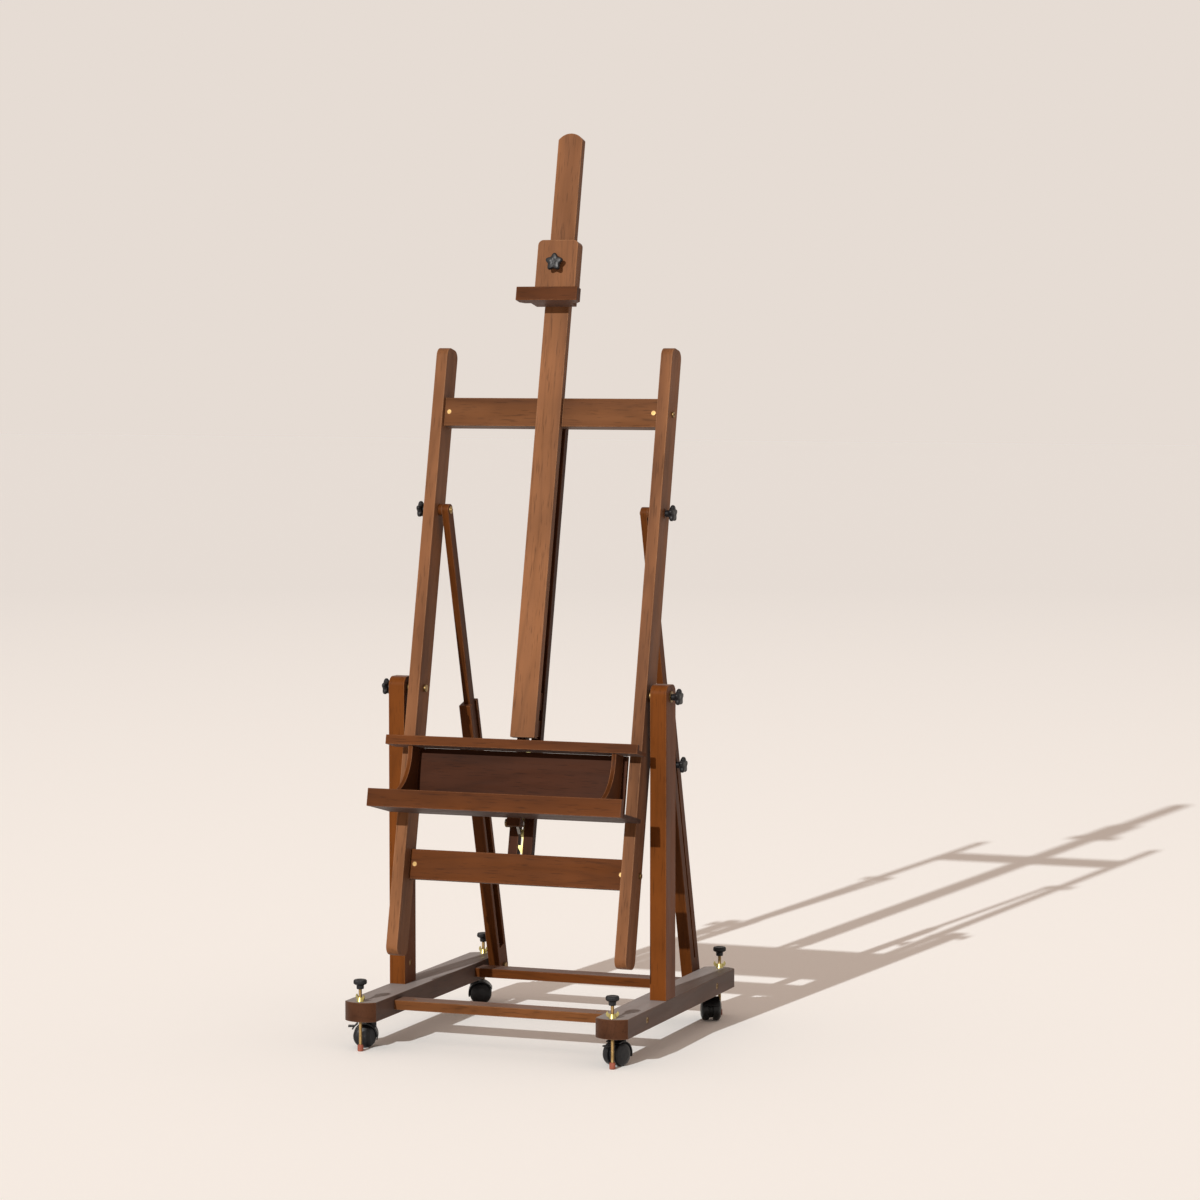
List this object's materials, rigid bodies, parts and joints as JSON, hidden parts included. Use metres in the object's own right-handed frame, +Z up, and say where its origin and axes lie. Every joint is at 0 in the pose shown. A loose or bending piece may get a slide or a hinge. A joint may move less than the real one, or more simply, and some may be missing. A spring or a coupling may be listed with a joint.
{
  "type": "artist easel",
  "caption": "Wooden H-frame studio easel with a tilting frame, a raised canvas tray, a sliding mast with canvas holder, casters and levelling feet.",
  "frame": {"origin": "on the floor under the middle of the base, at the bounding box's bottom centre", "axes": "+Z up, -Y towards the painter, +X to the painter's right"},
  "size_m": [0.5752, 0.6, 1.6377],
  "materials": {
    "beech": "walnut stain under satin lacquer",
    "brass": "satin",
    "yellow_zinc": "yellow zinc plate",
    "steel": "satin",
    "black_plastic": "fine matte moulding",
    "black_nylon": "semi-gloss"
  },
  "bodies": {
    "base": {"foot_left": "beech", "foot_right": "beech", "base_crossbar_front": "beech", "base_crossbar_rear": "beech", "post_left": "beech", "post_right": "beech", "base_bolts": "brass", "hinge_bolts": "brass"},
    "tilting_frame": {"mast_left": "beech", "mast_right": "beech", "upper_crossbar": "beech", "lower_crossbar": "beech", "track_post": "beech", "ratchet_rack": "yellow_zinc", "frame_bolts": "brass", "strut_spacers": "beech"},
    "slider": {"sliding_mast": "beech", "mast_guides": "beech"},
    "canvas_holder": {"holder_block": "beech", "holder_ledge": "beech", "holder_keeper": "steel"},
    "tray": {"tray_back": "beech", "tray_bottom": "beech", "tray_rail": "beech", "tray_shelf": "beech", "tray_brackets": "beech", "tray_guides": "beech", "pawl_pin": "steel", "pawl_spring": "brass"},
    "pawl": {"ratchet_pawl": "steel"},
    "strut_lower_left_body": {"strut_lower_left": "beech"},
    "strut_upper_left_body": {"strut_upper_left": "beech"},
    "tilt_knob_left_body": {"tilt_knob_left": "black_plastic"},
    "strut_clamp_knob_left_body": {"strut_clamp_knob_left": "black_plastic"},
    "strut_top_knob_left_body": {"strut_top_knob_left": "black_plastic"},
    "strut_lower_right_body": {"strut_lower_right": "beech"},
    "strut_upper_right_body": {"strut_upper_right": "beech"},
    "tilt_knob_right_body": {"tilt_knob_right": "black_plastic"},
    "strut_clamp_knob_right_body": {"strut_clamp_knob_right": "black_plastic"},
    "strut_top_knob_right_body": {"strut_top_knob_right": "black_plastic"},
    "holder_knob_body": {"holder_knob": "black_plastic"},
    "mast_lock_knob_body": {"mast_lock_knob": "black_plastic"},
    "leveller_front_left_body": {"leveller_front_left": "black_plastic"},
    "wing_nut_front_left_body": {"wing_nut_front_left": "yellow_zinc"},
    "caster_front_left_body": {"caster_hood_front_left": "black_plastic"},
    "caster_front_left_wheels_body": {"caster_wheels_front_left": "black_nylon"},
    "brake_lever_front_left_body": {"brake_lever_front_left": "black_plastic"},
    "leveller_front_right_body": {"leveller_front_right": "black_plastic"},
    "wing_nut_front_right_body": {"wing_nut_front_right": "yellow_zinc"},
    "caster_front_right_body": {"caster_hood_front_right": "black_plastic"},
    "caster_front_right_wheels_body": {"caster_wheels_front_right": "black_nylon"},
    "brake_lever_front_right_body": {"brake_lever_front_right": "black_plastic"},
    "leveller_rear_left_body": {"leveller_rear_left": "black_plastic"},
    "wing_nut_rear_left_body": {"wing_nut_rear_left": "yellow_zinc"},
    "caster_rear_left_body": {"caster_hood_rear_left": "black_plastic"},
    "caster_rear_left_wheels_body": {"caster_wheels_rear_left": "black_nylon"},
    "leveller_rear_right_body": {"leveller_rear_right": "black_plastic"},
    "wing_nut_rear_right_body": {"wing_nut_rear_right": "yellow_zinc"},
    "caster_rear_right_body": {"caster_hood_rear_right": "black_plastic"},
    "caster_rear_right_wheels_body": {"caster_wheels_rear_right": "black_nylon"}
  },
  "joints": [
    {"name": "mast_tilt", "type": "hinge", "parent": "base", "child": "tilting_frame", "pos_m": [0, -0.0667, 0.6296], "axis": [-1, 0, 0], "range_deg": [-12.68, 17.3]},
    {"name": "mast_slide", "type": "slide", "parent": "tilting_frame", "child": "slider", "axis": [0, 0.2195, 0.9756], "range_m": [0, 0.42]},
    {"name": "holder_slide", "type": "slide", "parent": "slider", "child": "canvas_holder", "axis": [0, 0.2195, 0.9756], "range_m": [-0.19, 0.185]},
    {"name": "tray_slide", "type": "slide", "parent": "tilting_frame", "child": "tray", "axis": [0, 0.2195, 0.9756], "range_m": [-0.029, 0.145]},
    {"name": "pawl_turn", "type": "hinge", "parent": "tray", "child": "pawl", "pos_m": [0, -0.129, 0.39924], "axis": [1, 0, 0], "range_deg": [-20, 35], "stiffness_Nm_per_rad": 0.02},
    {"name": "strut_swing_left", "type": "hinge", "parent": "base", "child": "strut_lower_left_body", "pos_m": [-0.1942, 0.2535, 0.0717], "axis": [-1, 0, 0], "range_deg": [-4.2, 5.7]},
    {"name": "strut_extend_left", "type": "slide", "parent": "strut_lower_left_body", "child": "strut_upper_left_body", "axis": [0, -0.2711, 0.9626], "range_m": [-0.052, 0.038]},
    {"name": "tilt_knob_left_turn", "type": "hinge", "parent": "base", "child": "tilt_knob_left_body", "pos_m": [-0.2786, -0.0667, 0.6296], "axis": [-1, 0, 0], "continuous": true},
    {"name": "strut_clamp_knob_left_turn", "type": "hinge", "parent": "strut_upper_left_body", "child": "strut_clamp_knob_left_body", "pos_m": [-0.214, 0.1372, 0.48463], "axis": [-1, 0, 0], "continuous": true},
    {"name": "strut_top_knob_left_turn", "type": "hinge", "parent": "tilting_frame", "child": "strut_top_knob_left_body", "pos_m": [-0.2406, 0.00593, 0.95109], "axis": [-1, 0, 0], "continuous": true},
    {"name": "strut_swing_right", "type": "hinge", "parent": "base", "child": "strut_lower_right_body", "pos_m": [0.1942, 0.2535, 0.0717], "axis": [-1, 0, 0], "range_deg": [-4.2, 5.7]},
    {"name": "strut_extend_right", "type": "slide", "parent": "strut_lower_right_body", "child": "strut_upper_right_body", "axis": [0, -0.2711, 0.9626], "range_m": [-0.052, 0.038]},
    {"name": "tilt_knob_right_turn", "type": "hinge", "parent": "base", "child": "tilt_knob_right_body", "pos_m": [0.2786, -0.0667, 0.6296], "axis": [1, 0, 0], "continuous": true},
    {"name": "strut_clamp_knob_right_turn", "type": "hinge", "parent": "strut_upper_right_body", "child": "strut_clamp_knob_right_body", "pos_m": [0.214, 0.1372, 0.48463], "axis": [1, 0, 0], "continuous": true},
    {"name": "strut_top_knob_right_turn", "type": "hinge", "parent": "tilting_frame", "child": "strut_top_knob_right_body", "pos_m": [0.2406, 0.00593, 0.95109], "axis": [1, 0, 0], "continuous": true},
    {"name": "holder_knob_turn", "type": "hinge", "parent": "canvas_holder", "child": "holder_knob_body", "pos_m": [0, 0.05242, 1.39829], "axis": [0, -0.9756, 0.2195], "continuous": true},
    {"name": "mast_lock_knob_turn", "type": "hinge", "parent": "tilting_frame", "child": "mast_lock_knob_body", "pos_m": [0, 0.06654, 1.05737], "axis": [0, 0.9756, -0.2195], "continuous": true},
    {"name": "leveller_front_left_screw", "type": "slide", "parent": "base", "child": "leveller_front_left_body", "axis": [0, 0, 1], "range_m": [-0.008, 0.015]},
    {"name": "wing_nut_front_left_turn", "type": "hinge", "parent": "base", "child": "wing_nut_front_left_body", "pos_m": [-0.239, -0.2855, 0.093], "axis": [0, 0, 1], "continuous": true},
    {"name": "caster_front_left_swivel", "type": "hinge", "parent": "base", "child": "caster_front_left_body", "pos_m": [-0.238, -0.2385, 0.053], "axis": [0, 0, 1], "continuous": true},
    {"name": "caster_front_left_roll", "type": "hinge", "parent": "caster_front_left_body", "child": "caster_front_left_wheels_body", "pos_m": [-0.24915, -0.24294, 0.021], "axis": [0.3697, -0.9291, 0], "continuous": true},
    {"name": "brake_front_left_press", "type": "hinge", "parent": "caster_front_left_body", "child": "brake_lever_front_left_body", "pos_m": [-0.26247, -0.24824, 0.04148], "axis": [0.3697, -0.9291, 0], "range_deg": [0, 8]},
    {"name": "leveller_front_right_screw", "type": "slide", "parent": "base", "child": "leveller_front_right_body", "axis": [0, 0, 1], "range_m": [-0.008, 0.015]},
    {"name": "wing_nut_front_right_turn", "type": "hinge", "parent": "base", "child": "wing_nut_front_right_body", "pos_m": [0.239, -0.2855, 0.093], "axis": [0, 0, 1], "continuous": true},
    {"name": "caster_front_right_swivel", "type": "hinge", "parent": "base", "child": "caster_front_right_body", "pos_m": [0.238, -0.2385, 0.053], "axis": [0, 0, 1], "continuous": true},
    {"name": "caster_front_right_roll", "type": "hinge", "parent": "caster_front_right_body", "child": "caster_front_right_wheels_body", "pos_m": [0.23345, -0.2496, 0.021], "axis": [0.9252, -0.3795, 0], "continuous": true},
    {"name": "brake_front_right_press", "type": "hinge", "parent": "caster_front_right_body", "child": "brake_lever_front_right_body", "pos_m": [0.22801, -0.26287, 0.04148], "axis": [0.9252, -0.3795, 0], "range_deg": [0, 8]},
    {"name": "leveller_rear_left_screw", "type": "slide", "parent": "base", "child": "leveller_rear_left_body", "axis": [0, 0, 1], "range_m": [-0.008, 0.015]},
    {"name": "wing_nut_rear_left_turn", "type": "hinge", "parent": "base", "child": "wing_nut_rear_left_body", "pos_m": [-0.239, 0.2855, 0.093], "axis": [0, 0, 1], "continuous": true},
    {"name": "caster_rear_left_swivel", "type": "hinge", "parent": "base", "child": "caster_rear_left_body", "pos_m": [-0.238, 0.2385, 0.053], "axis": [0, 0, 1], "continuous": true},
    {"name": "caster_rear_left_roll", "type": "hinge", "parent": "caster_rear_left_body", "child": "caster_rear_left_wheels_body", "pos_m": [-0.22685, 0.24294, 0.021], "axis": [-0.3697, 0.9291, 0], "continuous": true},
    {"name": "leveller_rear_right_screw", "type": "slide", "parent": "base", "child": "leveller_rear_right_body", "axis": [0, 0, 1], "range_m": [-0.008, 0.015]},
    {"name": "wing_nut_rear_right_turn", "type": "hinge", "parent": "base", "child": "wing_nut_rear_right_body", "pos_m": [0.239, 0.2855, 0.093], "axis": [0, 0, 1], "continuous": true},
    {"name": "caster_rear_right_swivel", "type": "hinge", "parent": "base", "child": "caster_rear_right_body", "pos_m": [0.238, 0.2385, 0.053], "axis": [0, 0, 1], "continuous": true},
    {"name": "caster_rear_right_roll", "type": "hinge", "parent": "caster_rear_right_body", "child": "caster_rear_right_wheels_body", "pos_m": [0.24224, 0.22728, 0.021], "axis": [0.9354, 0.3535, 0], "continuous": true}
  ],
  "couplings": [
    {"joint": "strut_swing_left", "follows": "mast_tilt", "ratio": 0.313},
    {"joint": "strut_extend_left", "follows": "mast_tilt", "m_per_rad": -0.1633},
    {"joint": "strut_swing_right", "follows": "mast_tilt", "ratio": 0.313},
    {"joint": "strut_extend_right", "follows": "mast_tilt", "m_per_rad": -0.1633}
  ]
}
